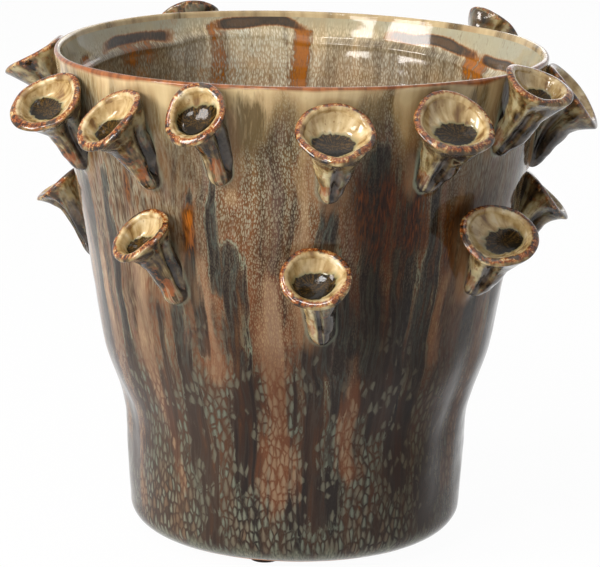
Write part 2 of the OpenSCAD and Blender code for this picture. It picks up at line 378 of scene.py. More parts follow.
fleckShare = node("Math", [flecks, fleckShare], **times)
# brown zones: brown glaze, and painted shade on the inner right wall
brownAndShadeMask = edgeOf(brownShare, (0.9, 1.7, 0, 0.75), (streaks, 1.4))[1]
runEdge, runMask = edgeOf(runShare, (0.8, 1.35, 0, 0.95), (streaks, 1.2), (node("Math", [fur, 0.5], **minus), 1.2))
runTone = layered("#5e3a1a", (node("MapRange", [runEdge, 1.1, 1.6]), "#a05c0e"))
poolEdge, poolMask = edgeOf(pooled, (0.6, 0.95, 0, 0.92), (fur, 0.4), (patches, 1.3), less=0.45)
poolTone = node("ValToRGB", [node("Math", [poolEdge, 2], **dividedBy)], ramp={
    0.36: "#a5650f", 0.46: "#7a4714", 0.56: "#3c2410", 0.64: "#1f1007", 0.72: "#4a3018"})
rimMask = edgeOf(rimShare, (1, 1.25, 0, 0.95), (streaks, 1.2))[1]
colour = layered(ground, (cloudy, "#94978a", 0.4), (fleckShare, layered("#e4d4b2", (cloudy, "#d8d8c6"))),
                 (brownAndShadeMask, layered("#3a2a1a", (flecks, "#6d5a3e"))), (runMask, runTone), (poolMask, poolTone),
                 (rimMask, layered("#6f3a1c", (fur, "#a4703c"))))
peel = noiseOf(place, insideLook["peelWidth"])
relief = node("Math", [flecks, 0.04, peel], **timesPlus)
rough = node("MapRange", [fleckShare, 0, 1, 0.07, 0.16])
finishMaterial(glossShader(insideLook, colour, rough, relief, insideLook["ior"]))

# Horn glaze: the same glaze breaking thin on small forms, so the lips fire rust, the bowls pool charcoal
# on cream, and the roots and folds go slate grey
hornGlaze, tree = newMaterial("breakingHornGlaze")
hornLook = dict(warp=(9, 4), speckWidth=0.8, freckleWidth=2.4, cloudWidth=8, bumpStrength=0.18, bumpDepth=0.0005)
place, flowing = glazeBase(*hornLook["warp"])
lipShare, poolDepth, bowlShare, rootShare, foldShare, tipShare, creamShare, poolRise = [
    node("Attribute", out="Fac", attribute_name=name)
    for name in "lipShare poolDepth bowlShare rootShare foldShare tipShare creamShare poolRise".split()]
along = node("Attribute", out="Vector", attribute_name="along")  # round the horn and along it
cloud, specks, freckles = [noiseOf(flowing, hornLook[name + "Width"], 1, detail)
                           for name, detail in (("cloud", 3), ("speck", 2), ("freckle", 3))]
streaks, needles, marks = [node("TexNoise", {"Vector": along, "Scale": scale, "Detail": detail})
                           for scale, detail in ((1, 3), (3.4, 2), (2.6, 3))]
body = summed(0, (cloud, 0.4), (streaks, 0.6))
stemTone = node("ValToRGB", [summed(body, (creamShare, 0.1))], ramp={
    0.38: "#1c140e", 0.45: "#413019", 0.51: "#6b5633", 0.58: "#a08c60", 0.66: "#c8b98f"})
rustFreckle = node("MapRange", [freckles, 0.56, 0.66, 0, 0.7])
tipMask = edgeOf(tipShare, (1.9, 2.2, 0, 0.85), (streaks, 1.6), (freckles, 1.2))[1]
# slate grey in the folds and at the root, and painted shade on the throat under the lip
slateAndShadeEdge, slateAndShadeMask = edgeOf(node("Math", [rootShare, foldShare], **greater), (1.12, 1.45, 0, 0.93), (streaks, 1.5))
slateTone = layered("#14110f", (node("MapRange", [cloud, 0.4, 0.6]), "#4a4442"))
edgeMask = node("ValToRGB", [node("Math", [slateAndShadeEdge, 2], **dividedBy)], ramp={0.48: 0, 0.54: 0.35, 0.57: 0.3, 0.62: 0})
# cream bowl, and the charcoal pool in it, dark brown below
bowlTone = node("ValToRGB", [body], ramp={
    0.36: "#755632", 0.43: "#9e8152", 0.5: "#b99f70", 0.57: "#ceb88c", 0.65: "#dccdab"})
bowlTone = layered(bowlTone, (node("MapRange", [freckles, 0.62, 0.72, 0, 0.6]), "#7a4a1e"))
poolEdge, poolMask = edgeOf(poolDepth, (0.98, 1.15, 0, 0.97), (streaks, 1.5), (freckles, 0.5))
poolLine = node("MapRange", [poolEdge, 0.45, 1.05, 0, 0.85])
needles = summed(0, (specks, 0.4), (needles, 0.6))
poolShade = edgeOf(poolRise, (0.62, 0.36), (freckles, 0.8))[1]
poolTone = layered("#1a1108", (node("MapRange", [needles, 0.47, 0.6]), "#513a17"), (poolShade, "#120b07"))
# lip: rust, broken with cream, dark brown and blue-black, in short marks across the roll
lipMask = edgeOf(lipShare, (1.45, 1.75, 0, 0.94), (freckles, 1.1), (cloud, 0.8))[1]
lipTone = node("ValToRGB", [summed(0, (specks, 0.3), (marks, 0.35), (freckles, 0.35))], ramp={
    0.4: "#17110f", 0.44: "#3e1e0e", 0.485: "#74360f", 0.53: "#92501f", 0.57: "#b0834c", 0.61: "#c4ad7c"})
lipTone = layered(lipTone, (node("MapRange", [cloud, 0.58, 0.63, 0, 0.85]), "#1e2226"))
colour = layered(stemTone, (rustFreckle, "#7d4a26"), (tipMask, "#8d4d1f"), (edgeMask, "#9b9c82"),
                 (slateAndShadeMask, slateTone), (bowlShare, bowlTone), (poolLine, "#75724c"), (poolMask, poolTone),
                 (lipMask, lipTone))
relief = node("Math", [specks, 0.2, freckles], **timesPlus)
rough = node("MapRange", [specks, 0.3, 0.7, 0.03, 0.1])
sheen = node("MapRange", [poolMask, 0, 1, 1.46, 1.3])
finishMaterial(glossShader(hornLook, colour, rough, relief, sheen))

# Pressed wool felt: matt, dark brown, with mixed fibres, which are drawn far coarser than real ones so that they show
felt, tree = newMaterial("pressedWoolFelt")
feltLook = dict(fibreWidth=0.5, distortion=1.5, roughness=0.95, sheen=0.3, bumpStrength=0.8, bumpDepth=0.0005)
fibres = node("TexNoise", {"Vector": inMillimetres(), "Scale": 1 / feltLook["fibreWidth"], "Detail": 4,
                           "Distortion": feltLook["distortion"]})
colour = node("ValToRGB", [fibres], ramp={0.3: "#241811", 0.5: "#3a281d", 0.7: "#54402f"})
bump = node("Bump", {"Height": fibres, "Strength": feltLook["bumpStrength"], "Distance": feltLook["bumpDepth"]})
finishMaterial(node("BsdfPrincipled", {"Base Color": colour, "Roughness": feltLook["roughness"],
                                       "Sheen Weight": feltLook["sheen"], "Normal": bump}))

print("wall form")
wall = dict(footZ=3, heelZ=18, barrelZ=61, shoulderZ=107, rimZ=252, ledgeZ=236, floorZ=11, footRadius=64,
            heelRadius=84.5, barrelRadius=87, shoulderRadius=99.5, rimRadius=125, thickness=7, rimThickness=5,
            crestThickness=3.4, ledgeStep=2.6, floorCurve=18, segments=360, rowHeight=1.9)
footZ, heelZ, barrelZ, shoulderZ, rimZ, ledgeZ, floorZ, footRadius, heelRadius, barrelRadius, shoulderRadius = (
    list(wall.values())[:11])
# How far the wide and narrow waves and the throwing lines of the hand-made wall stand off its true form
waves = dict(wide=0.9, narrow=0.35, thrown=0.16, pitch=7, shrink=0.5)
# Finger dents and flutes: azimuth, height, half width in degrees, half height, depth
dents = [(-74, 62, 9, 26, 1.8), (33, 92, 6, 38, 1.3), (60, 84, 7, 42, 1.9), (46, 62, 6, 34, -0.9),
         (-48, 96, 9, 30, 0.9), (118, 70, 10, 36, 1.6), (158, 88, 9, 40, 1.3), (-150, 76, 11, 34, 1.5),
         (-112, 90, 8, 40, 1.2), (12, 66, 8, 22, 0.7)]


def ramped(low, high, share):
    return low + (high - low) * share


def limited(value, low=0, high=1):
    return min(max(value, low), high)


def eased(value):  # smooth step from 0 to 1
    value = limited(value)
    return value * value * (3 - 2 * value)


def bell(away, halfWidth, power=2):  # 1 in the middle, and falling to 0 beyond the half width
    return exp(-((away / halfWidth) ** power))


def angleBetween(a, b):
    return (a - b + 180) % 360 - 180


def flareRadius(z):
    return ramped(shoulderRadius, wall["rimRadius"], (z - shoulderZ) / (rimZ - shoulderZ))


def wallRadius(z):  # outside of the turned wall from the heel up, the same curve as the solid's
    if z >= shoulderZ:
        return flareRadius(z)
    if z < barrelZ:
        return ramped(heelRadius, barrelRadius, (z - heelZ) / (barrelZ - heelZ))
    height = shoulderZ - barrelZ
    share = (z - barrelZ) / height
    lowSlope = (barrelRadius - heelRadius) / (barrelZ - heelZ) * height
    highSlope = flareRadius(shoulderZ + height) - shoulderRadius
    return (ramped(barrelRadius, shoulderRadius, share * share * (3 - 2 * share))
            + lowSlope * share * (1 - share) ** 2 - highSlope * share ** 2 * (1 - share))


def wallOffset(azimuth, z):  # how far the hand-made wall stands off the true turned form
    turn = radians(azimuth)
    spot = Vector((cos(turn), sin(turn), z / 100)) * 2.4
    offset = (waves["wide"] * noise(spot) * eased(z / 30)
              + waves["narrow"] * noise(spot * 2.7 + Vector((7, 3, 1))))
    offset += waves["thrown"] * noise(Vector((cos(turn) * 0.6, sin(turn) * 0.6, z / waves["pitch"])))
    offset -= waves["shrink"] * limited(z / 250)
    for azimuthMid, zMid, halfWidth, halfHeight, depth in dents:
        across = angleBetween(azimuth, azimuthMid) / halfWidth
        along = (z - zMid) / halfHeight
        if abs(across) < 3 and abs(along) < 2.5:
            offset -= depth * exp(-across * across - along * along)
    return offset


def rimLift(azimuth):  # the rim isn't quite level
    turn = radians(azimuth)
    return 0.5 * sin(turn * 2 + 0.8) + 0.4 * sin(turn * 3 + 2) - 0.5 - 0.8 * max(0, cos(turn - radians(125)))


def ledgeHeight(azimuth):  # the wavy glaze ledge inside the rim
    turn = radians(azimuth)
    line = ledgeZ + 1.6 * sin(turn * 2 + 1.1) + sin(turn * 5 + 0.4)
    return line + 5 * bell(angleBetween(azimuth, 197), 16, 4) - 3 * bell(angleBetween(azimuth, 118), 14)


# A closed skin turned round Z: each point keeps its turn as an angle and its row as a height,
# and each piece then moves its points to their places
def turnedSkin(rows, segments):
    bm = bmesh.new()
    line = [bm.verts.new((0 if row in (0, rows - 1) else 1, 0, row)) for row in range(rows)]
    edges = [bm.edges.new(pair) for pair in zip(line, line[1:])]
    bmesh.ops.spin(bm, geom=line + edges, cent=(0, 0, 0), axis=(0, 0, 1), angle=2 * pi, steps=segments,
                   use_merge=True)
    bmesh.ops.remove_doubles(bm, verts=bm.verts, dist=1e-3)
    bmesh.ops.recalc_face_normals(bm, faces=bm.faces)
    return bm


def newPiece(name, bm, materials, node, attributes):
    mesh = bpy.data.meshes.new(name)
    bm.to_mesh(mesh)
    bm.free()
    for attribute, values in attributes.items():
        values = np.array(values, np.float32)
        kind, field = ("FLOAT_VECTOR", "vector") if values.ndim == 2 else ("FLOAT", "value")
        mesh.attributes.new(attribute, kind, "POINT").data.foreach_set(field, values.ravel())
    for material in materials:
        mesh.materials.append(material)
    mesh.polygons.foreach_set("use_smooth", [True] * len(mesh.polygons))
    piece = bpy.data.objects.new(name, mesh)
    linkToScene(piece)
    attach(piece, "root")
    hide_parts(node)
    return piece


# Horns, one row each: azimuth, drop of the lip's middle below the rim, lip diameter, upward tilt,
# sideways lean, space to the wall, turn of the lip to one side, flats of the lip as (angle, depth),
# angle of the stem's overlap, and the pool's reach and how far it lies to one side
horns = dict(
    upper_horn_1=(7, 20, 40, 50, 0, 0.5, 0, [(222, 0.12), (318, 0.12), (90, 0.04)], 292, 0.62, -1),
    upper_horn_2=(31, 17, 42, 52, 0, 0.5, -5, [(145, 0.05), (300, 0.05)], 262, 0.6, 2.5),
    upper_horn_3=(53, 4, 37, 62, 3, 0.5, 6, [(60, 0.08), (240, 0.1)], 236, 0.6, 2),
    upper_horn_4=(84, 21, 42, 38, 0, 0.5, 0, [(215, 0.1), (325, 0.1)], 200, 0.55, 1),
    upper_horn_5=(133, 4, 32, 45, -6, 0.5, 0, [(30, 0.06), (230, 0.08)], 280, 0.55, 1),
    upper_horn_6=(158, 14, 38, 50, 8, 0.5, 0, [(215, 0.1), (315, 0.08)], 250, 0.58, -1),
    upper_horn_7=(182, 17, 38, 48, -4, 0.5, 0, [(140, 0.08), (320, 0.08)], 290, 0.56, 1),
    upper_horn_8=(206, 7, 36, 50, 5, 0.5, 0, [(40, 0.07), (225, 0.1)], 260, 0.6, 0),
    upper_horn_9=(256, 13, 37, 56, 0, 0.5, 0, [(210, 0.1), (330, 0.1)], 15, 0.55, -2),
    upper_horn_10=(298, 19, 39, 50, -10, 0.5, 14, [(130, 0.1), (310, 0.12)], 8, 0.62, -4),
    upper_horn_11=(319, 20, 38, 46, 14, 0.5, 0, [(150, 0.12), (330, 0.08)], 12, 0.62, -3.8),
    upper_horn_12=(339, 13, 33, 30, 11, 4, 0, [(155, 0.07), (325, 0.07)], 356, 0.86, -2.2),
    lower_horn_1=(4, 92, 35, 40, 8, 0.5, 0, [(250, 0.03), (60, 0.03)], 276, 0.74, -1.3),
    lower_horn_2=(48, 77, 40, 56, 17, 0.5, -13, [(70, 0.1), (250, 0.05)], 236, 0.62, 4),
    lower_horn_3=(93, 76, 34, 42, 0, 0.5, 0, [(215, 0.1), (325, 0.08)], 210, 0.56, 1),
    lower_horn_4=(138, 84, 37, 48, -8, 0.5, 0, [(130, 0.08), (320, 0.1)], 300, 0.6, -1),
    lower_horn_5=(181, 78, 36, 46, 10, 0.5, 0, [(225, 0.1), (320, 0.1)], 255, 0.56, 1),
    lower_horn_6=(222, 86, 35, 50, -6, 0.5, 0, [(50, 0.06), (235, 0.08)], 275, 0.6, 0),
    lower_horn_7=(257, 78, 31, 52, 0, 0.5, 0, [(215, 0.1), (325, 0.1)], 330, 0.56, -1),
    lower_horn_8=(323, 77, 33, 47, 14, 0.5, 0, [(140, 0.12), (315, 0.08)], 10, 0.64, -3.6),
)
# What all horns share: flareShare and neckShare are of the lip's radius, and throat of the neck's
hornForm = dict(lipThickness=4.8, lipBulge=1.8, bowlDepth=5.6, poolFlat=0.6, poolDish=0.9, poolDrop=1.3, flareShare=0.9,
                neckShare=0.54, throat=0.97, tailDrop=37, tailRadius=6.5, tailStand=2, flarePower=1.25, segments=56,
                stemRings=27, overlap=0.2, slit=0.42, tailWidth=0.9, fit=0.985, wobble=0.035, flatWidth=34, wave=0.05)


def hornSpine(azimuth, drop, lipDiameter, tilt, lean, gap, lipTurn):  # where a horn sits, and its tail, neck and lip
    lipRadius = lipDiameter / 2
    lipZ = rimZ - drop
    rise = radians(tilt)
    depth = hornForm["flareShare"] * lipRadius
    reach = flareRadius(lipZ + lipRadius * cos(rise)) + lipRadius * sin(rise) + gap
    tailZ = lipZ - hornForm["tailDrop"] + hornForm["tailRadius"]
    place = (Matrix.Rotation(radians(azimuth), 4, "Z") @ Matrix.Translation((0, -reach, lipZ))
             @ Matrix.Rotation(radians(-lean), 4, "Y"))
    turned = Matrix.Rotation(radians(lipTurn), 3, "Z")
    facing = turned @ Vector((0, -cos(rise), sin(rise)))
    return dict(place=place, facing=facing, sideways=turned @ Vector((1, 0, 0)), lipRadius=lipRadius,
                neckRadius=hornForm["neckShare"] * lipRadius, lip=Vector((0, 0, 0)), neck=facing * -depth,
                tail=Vector((0, reach - flareRadius(tailZ) - hornForm["tailStand"], tailZ - lipZ)))


spines = {name: hornSpine(*row[:7]) for name, row in horns.items()}


def stemDistance(points, spine):  # distance of many points from a horn's outside, roughly, in millimetres
    best = np.full(len(points), 1e3)
    stops = [(spine["tail"], hornForm["tailRadius"]), (spine["neck"], spine["neckRadius"]),
             (spine["neck"] * 0.35, ramped(spine["neckRadius"], spine["lipRadius"], 0.55))]
    for (start, startRadius), (end, endRadius) in zip(stops, stops[1:]):
        a, b = np.array(spine["place"] @ start), np.array(spine["place"] @ end)
        run = b - a
        share = np.clip((points - a) @ run / (run @ run), 0, 1)
        away = np.linalg.norm(points - a - share[:, None] * run, axis=1)
        best = np.minimum(best, away - ramped(startRadius, endRadius, share))
    return best


# Charcoal drips, which run down from the horns: azimuth and height at the top, the same at the end, half widths
drips = [
    (-20.5, 206, -20.5, 150, 2.2, 3), (-17.5, 166, -15, 56, 5, 7), (-35, 142, -27, 22, 4, 7), (-41, 130, -43, 60, 3, 5),
    (-56, 196, -58, 60, 3, 6), (7, 216, 5, 146, 4.5, 5.5), (5.5, 124, 5.5, 40, 6, 10), (19, 216, 20, 96, 7, 9),
    (28, 212, 27, 84, 6, 8), (36, 198, 36, 50, 4, 8), (12, 150, 13, 90, 3, 5), (-28, 190, -27, 120, 2, 4),
    (-68, 196, -72, 40, 4, 7), (56, 140, 50, 30, 5, 9), (72, 200, 70, 60, 4, 8), (84, 196, 84, 90, 5, 8),
    (98, 142, 101, 30, 6, 9), (-104, 206, -100, 84, 5, 9), (-103, 140, -108, 36, 5, 8), (-88, 180, -90, 60, 4, 7),
    (131, 216, 124, 110, 5, 9), (133, 138, 136, 36, 6, 11), (150, 190, 148, 60, 4, 7), (163, 208, 158, 84, 5, 9),
    (186, 142, 190, 46, 6, 10), (178, 206, 172, 150, 5, 7), (211, 210, 206, 96, 5, 9), (218, 134, 226, 24, 5, 9),
    (236, 190, 240, 120, 4, 7)]
# Tan runs between them, in the same way
paleRuns = [
    (-7, 150, -6.5, 46, 5.5, 8), (-45, 176, -48, 104, 4, 5), (-48, 104, -40, 44, 4.5, 4), (-25, 158, -24, 108, 3.5, 5),
    (16, 110, 18, 56, 4, 5), (0.5, 216, -0.5, 160, 1.8, 3), (-16, 226, -15, 196, 3, 3.5), (43, 190, 42, 110, 2, 3),
    (-65, 150, -64, 30, 4, 6), (66, 150, 64, 40, 4, 6), (90, 160, 92, 50, 4, 5), (114, 200, 112, 60, 4, 6),
    (142, 130, 144, 30, 4, 7), (170, 190, 168, 60, 4, 6), (200, 150, 204, 30, 4, 7), (232, 200, 230, 60, 4, 6),
    (252, 150, 250, 40, 4, 6), (268, 190, 270, 60, 4, 5), (282, 200, 281, 60, 4, 5)]
# Amber stains, with painted reflection of the horns and painted shadow beside the horns' lips high on the wall:
# azimuth, height, half width in degrees, half height, strength
ambersShadowsReflections = [(-28.5, 178, 2.4, 14, 1.6), (15, 190, 3.5, 22, 1), (22, 186, 5.5, 26, 1), (30, 186, 3.5, 20, 1),
          (42, 172, 3.5, 20, 1), (-47, 196, 2, 10, 1), (-12.5, 232, 5, 17, 1.1), (17, 236, 4, 13, 0.7),
          (42, 236, 3, 13, 0.8), (70, 150, 3, 20, 1), (110, 190, 4, 20, 1), (150, 180, 3, 22, 1),
          (200, 176, 4, 20, 1.3), (240, 186, 3, 24, 1), (125, 120, 3, 14, 1), (170, 122, 3, 12, 1.4)]
# Where the glaze lies thick and dark brown, and painted shade on the front's right side, in the same way
deepsAndShades = [(23, 168, 12, 62, 1), (-10, 118, 10, 62, 0.45), (52, 96, 27, 110, 0.9), (122, 110, 18, 90, 0.8),
         (200, 90, 26, 80, 0.8)]
# Zones where the fur is drawn out into long hair: azimuth, half width
hairZones = [(-62, 38), (62, 20), (112, 22), (196, 26)]
# Inside, glaze pooled on the ledge: azimuth, half width. Then its runs down from there, which add how far they
# reach below the ledge and their strength, and brown zones, partly painted shade on the inner right wall, with their
# strength
ledgePools = [(191, 13), (228, 12), (143, 15), (118, 8), (60, 12), (300, 14), (20, 10), (335, 8), (92, 7)]
insideRuns = [(180, 3.6, 200, 1), (203.5, 2.4, 80, 0.8), (228, 8, 14, 0.6), (252, 4, 20, 0.7), (60, 4, 120, 1),
              (300, 5, 160, 1), (20, 3, 90, 0.8), (128, 5, 12, 0.8), (90, 3, 60, 0.8)]
brownAndShadeZones = [(236, 30, 1.25), (205, 7, 0.5), (146, 34, 0.85), (45, 24, 0.6)]

print("pot body")


def bodyRows():  # turned section, from the foot's middle round the outside and inside to the floor's middle
    rows = [(r, footZ, "under") for r in (0, 10, 24, 38, 50, 58, 62)]
    for turn in [pi / 2 * i / 12 for i in range(13)]:
        rows.append((ramped(footRadius, heelRadius, sin(turn)), ramped(heelZ, footZ, cos(turn)), "outer"))
    crest = wall["crestThickness"]
    roundRadius = crest / 2
    top = rimZ - roundRadius
    count = int((top - heelZ) / wall["rowHeight"])
    rows += [(wallRadius(z), z, "outer") for z in (ramped(heelZ, top, i / count) for i in range(1, count))]
    middle = wallRadius(top) - roundRadius
    rows += [(middle + roundRadius * cos(pi * i / 10), top + roundRadius * sin(pi * i / 10), "rim") for i in range(11)]
    z = top - 1.3
    floorCurve = wall["floorCurve"]
    turnZ = floorZ + floorCurve
    while z > turnZ:
        thickness = ramped(wall["rimThickness"], crest, limited((z - ledgeZ) / (top - ledgeZ)))
        rows.append((wallRadius(z) - thickness, z, "inner"))
        z -= 0.9 if z > ledgeZ - 20 else 4.2  # close rows for the ledge
    turnRadius = wallRadius(turnZ) - wall["thickness"]
    for turn in [pi / 2 * i / 8 for i in range(9)]:
        rows.append((turnRadius - floorCurve * (1 - cos(turn)), turnZ - floorCurve * sin(turn), "floor"))
    return rows + [(r, floorZ, "floor") for r in (48, 32, 16, 0)]


rows = bodyRows()
bm = turnedSkin(len(rows), wall["segments"])
places, turns, sides, rimShare = [], [], [], []
crestRadius = flareRadius(rimZ) - wall["crestThickness"] / 2
for vert in bm.verts:
    radius, z, side = rows[round(vert.co.z)]
    azimuth, offset = 0 if radius == 0 else degrees(atan2(vert.co.x, -vert.co.y)), 0
    rimShare.append(bell(radius - crestRadius - 0.55, 0.9, 4) if side == "rim" else 0)
    if radius and side != "under":
        offset = wallOffset(azimuth, z) * eased((z - 4) / 20)
        if side == "inner":
            drop = ledgeHeight(azimuth) - z
            offset -= (wall["thickness"] - wall["rimThickness"]) * eased(drop / wall["ledgeStep"] + 0.5)
            offset -= 0.5 * bell(drop - 1.8, 1.3)  # the ledge's rounded edge
        if side == "floor":
            offset *= limited((radius - 20) / 60)
        radius += offset
        z += rimLift(azimuth) * eased((z - 180) / 70)
    places.append(onCircle(azimuth, radius, z))
    turns.append(azimuth)
    sides.append(side)
places, turns = np.array(places), np.array(turns)
heights = places[:, 2]

# Luting collars: the clay is drawn up softly round each horn's root
collar = dict(reach=5, lift=1.5)
nearHorn = np.min([stemDistance(places, spine) for spine in spines.values()] + [np.full(len(places), 60.0)], axis=0)
lift = np.clip(1 - nearHorn / collar["reach"], 0, 1) ** 2 * [side == "outer" for side in sides] * collar["lift"]
outward = np.stack([np.sin(np.radians(turns)), -np.cos(np.radians(turns)), np.zeros(len(turns))], 1)
places += outward * lift[:, None]
wander = np.array([noise(Vector((t / 9, 0.5, z / 30))) for t, z in zip(turns, heights)])
ledgeAbove = np.array([z - ledgeHeight(t) for t, z in zip(turns, heights)])


def acrossRuns(runs):  # how far across the nearest run each point lies: 0 in its middle, 1 at its edge
    best = np.full(len(places), 6.0)
    for topAzimuth, topZ, lowAzimuth, lowZ, topWidth, lowWidth in runs:
        share = np.clip((topZ - heights) / (topZ - lowZ), 0, 1)
        middle = ramped(topAzimuth, lowAzimuth, share ** 1.2)
        across = np.radians(angleBetween(turns, middle)) * np.hypot(places[:, 0], places[:, 1]) + wander * 4
        width = ramped(topWidth, lowWidth, share) * (1 + 0.2 * np.sin(share * 9 + topAzimuth))
        beyond = np.maximum(heights - topZ, 0) / 7 + np.maximum(lowZ - heights, 0) / (lowWidth * 1.6)
        best = np.minimum(best, np.sqrt((across / width) ** 2 + beyond ** 2))
    return best


def acrossArc(azimuth, halfWidth, sway):  # the same for an arc of the wall, whose edges sway
    return (angleBetween(turns, azimuth) + wander * sway) / halfWidth


def stained(stains):
    return np.max([strength * np.exp(-np.abs(acrossArc(azimuth, halfWidth, 3)) ** 2.5
                                     - ((heights - z) / halfHeight) ** 4)
                   for azimuth, z, halfWidth, halfHeight, strength in stains], axis=0)


def onLedge(azimuth, halfWidth):
    across = acrossArc(azimuth, halfWidth, 0)
    middle = 3 + 1.5 * np.cos(np.clip(across, -1, 1) * pi / 2)
    return np.exp(-across ** 6) * np.exp(-(((ledgeAbove - middle - wander * 2) / 3.1) ** 4))


for vert, place in zip(bm.verts, places):
    vert.co = Vector(place) / 1000
for face in bm.faces:
    if all(sides[vert.index] in ("inner", "floor") for vert in face.verts):
        face.material_index = 1
newPiece("potBody", bm, [potGlaze, insideGlaze], "pot_body", dict(
    nearHorn=np.clip(nearHorn / 20, 0, 3), dripShare=acrossRuns(drips), amberShare=stained(ambersShadowsReflections),
    deepShare=stained(deepsAndShades), paleShare=np.clip(1.4 - 0.9 * acrossRuns(paleRuns), -1, 1),
    hairShare=np.max([np.exp(-acrossArc(*zone, 6) ** 6) for zone in hairZones], axis=0), ledgeAbove=ledgeAbove / 10,
    brownShare=np.max([strength * np.exp(-acrossArc(azimuth, halfWidth, 6) ** 4) * np.clip((3 - ledgeAbove) / 4, 0, 1)
                       for azimuth, halfWidth, strength in brownAndShadeZones], axis=0),
    pooled=np.max([onLedge(*pool) for pool in ledgePools], axis=0),
    runShare=np.max([strength * np.exp(-acrossArc(azimuth, halfWidth, 2) ** 4)
                     * np.clip((ledgeAbove + length) / (length * 0.5), 0, 1) * np.clip((5 - ledgeAbove) / 2, 0, 1)
                     for azimuth, halfWidth, length, strength in insideRuns], axis=0), rimShare=rimShare))

print("horns")
random.seed(11)
boxLow, boxHigh = [Vector(corner) * 1000 for corner in cadBox]  # the horns stay inside the solids' box


# Rings of a horn: middle, direction, radius, share, part. The share is the way along the outside,
# 1 on the lip, and falls to 0 in the bowl's middle
def hornRings(spine, poolSide):
    tail, neck, lip = spine["tail"], spine["neck"], spine["lip"]
    tailRadius, throatRadius = hornForm["tailRadius"], spine["neckRadius"] * hornForm["throat"]
    tailDirection = (neck - tail).normalized()
    rings = [(tail - tailDirection * tailRadius * cos(a), tailDirection, tailRadius * sin(a), 0, "out")
             for a in map(radians, (0, 24, 46, 68))]
    split = (neck - tail).length / ((neck - tail).length + (lip - neck).length)
    for share in [i / hornForm["stemRings"] for i in range(hornForm["stemRings"])]:
        middle = tail * (1 - share) ** 2 + neck * 2 * share * (1 - share) + lip * share ** 2
        direction = ((neck - tail) * (1 - share) + (lip - neck) * share).normalized()
        if share < split:
            radius = ramped(tailRadius, throatRadius, eased(share / split) * 0.6 + 0.4 * share / split)
        else:
            opening = ((share - split) / (1 - split)) ** hornForm["flarePower"]
            radius = ramped(throatRadius, spine["lipRadius"], opening)
        rings.append((middle, direction, radius, share, "out"))
    facing = spine["facing"]
    roll = hornForm["lipThickness"] / 2
    for a in map(radians, range(0, 181, 20)):
        rings.append((lip + facing * hornForm["lipBulge"] * sin(a), facing,
                      spine["lipRadius"] - roll + roll * cos(a), 1, "lip"))
    bowlRadius = spine["lipRadius"] - hornForm["lipThickness"]
    poolFlat = hornForm["poolFlat"]
    shift = spine["sideways"] * poolSide - facing.cross(spine["sideways"]) * hornForm["poolDrop"]
    for q in (0.97, 0.92, 0.85, 0.77, 0.68, 0.6, 0.52, 0.42, 0.3, 0.15, 0):
        flat = limited((q - poolFlat) / (1 - poolFlat))  # the glaze lies level in the bowl's bottom
        depth = hornForm["bowlDepth"] * (1 - flat ** 1.7) + hornForm["poolDish"] * (1 - min(q / poolFlat, 1) ** 2)
        rings.append((lip - facing * depth + shift * (1 - flat), facing, bowlRadius * q, q, "bowl"))
    return rings


def lipOutline(angle, flats):  # share of the true circle, drawn in where the lip is pressed flat
    outline = 1
    for middle, depth in flats:
        outline -= depth * bell(angleBetween(angle, middle), hornForm["flatWidth"])
    return outline


# The stem is a rolled sheet: one edge laps over the other, and a slit is left below the lap.
# Gives the radius' factor with this in it, and how much fold and cream the glaze shows there, with painted shade on the
# throat under the lip counted in with the fold
def rolledStem(factor, angle, share, lower, overlapAngle):
    turnedDown = 200 < overlapAngle < 310
    lap = (angle - overlapAngle) % 360 / 360
    edge = min(lap, 1 - lap) * 360
    step = (0.5 - lap) * min(1, edge / 7)
    reach = (1 - share ** 2) * eased(share * 8 + 0.2)
    factor *= 1 + hornForm["overlap"] * 2 * step * reach
    slit = bell(angleBetween(angle, overlapAngle - 10), 15) * reach
    factor *= 1 - hornForm["slit"] * slit * (0.55 if turnedDown else 1)
    factor *= 1 - 0.14 * bell(angleBetween(angle, overlapAngle + 125), 16) * (1 - share)
    fromSlit = (angle - overlapAngle + 10) % 360
    slate = 0.72 * eased(fromSlit / 18) * eased((105 - fromSlit) / 35) * (1 - share ** 2.5)
    cream = eased((fromSlit - 190) / 50) * eased((352 - fromSlit) / 20) * (1 - share ** 4)
    foldAndShade = max(slit, bell(angleBetween(angle, overlapAngle - 16), 20) * (1 - share ** 3) * 0.9)
    foldAndShade = max(foldAndShade, slate, 0.8 * lower * bell(share - 0.84, 0.13))  # and painted shade on the throat under the lip
    return factor, foldAndShade, cream * (1 if turnedDown else -0.25)


